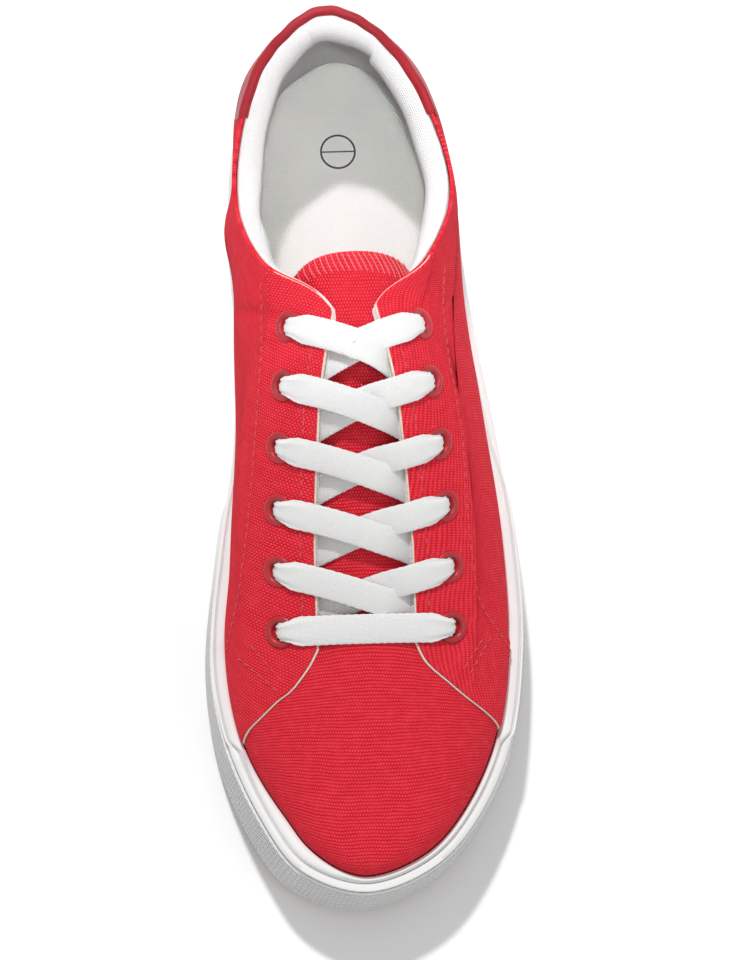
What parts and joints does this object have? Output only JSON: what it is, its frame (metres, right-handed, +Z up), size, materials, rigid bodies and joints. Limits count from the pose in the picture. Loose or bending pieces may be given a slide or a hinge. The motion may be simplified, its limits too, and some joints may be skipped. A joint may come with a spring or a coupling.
{
  "type": "canvas sneaker",
  "caption": "Low-top lace-up canvas sneaker with a thick level white rubber sole, a brown tread, a smooth heel tab and a padded collar.",
  "frame": {"origin": "on the ground under the middle of the shoe's bounding box", "axes": "+Z up; +Y from the toe to the heel, along the line from the heel's middle to the toe's tip; +X to the outer (little toe) side of this left shoe"},
  "size_m": [0.1007, 0.2781, 0.101],
  "materials": {
    "gum_rubber": "brown gum rubber, satin",
    "white_rubber": "white rubber, satin, textured round the toe",
    "white_lining": "white brushed cloth over thin foam",
    "canvas": "red cotton canvas, plain weave, matt",
    "leatherette": "red coated leatherette, fine grain, half-matt",
    "eyelet_enamel": "red painted metal, half-gloss",
    "lace_cotton": "white woven cotton tape, matt"
  },
  "bodies": {
    "root": {"outsole": "gum_rubber", "sidewall": "white_rubber", "toe_bumper": "white_rubber", "insole": "white_lining", "upper": "canvas", "heel_tab": "leatherette", "collar_padding": "white_lining", "tongue": "canvas", "eyelet_medial_1": "eyelet_enamel", "eyelet_medial_2": "eyelet_enamel", "eyelet_medial_3": "eyelet_enamel", "eyelet_medial_4": "eyelet_enamel", "eyelet_medial_5": "eyelet_enamel", "eyelet_medial_6": "eyelet_enamel", "eyelet_lateral_1": "eyelet_enamel", "eyelet_lateral_2": "eyelet_enamel", "eyelet_lateral_3": "eyelet_enamel", "eyelet_lateral_4": "eyelet_enamel", "eyelet_lateral_5": "eyelet_enamel", "eyelet_lateral_6": "eyelet_enamel", "lace_bar": "lace_cotton", "lace_crossing_1": "lace_cotton", "lace_crossing_2": "lace_cotton", "lace_crossing_3": "lace_cotton", "lace_crossing_4": "lace_cotton", "lace_crossing_5": "lace_cotton"}
  },
  "joints": []
}
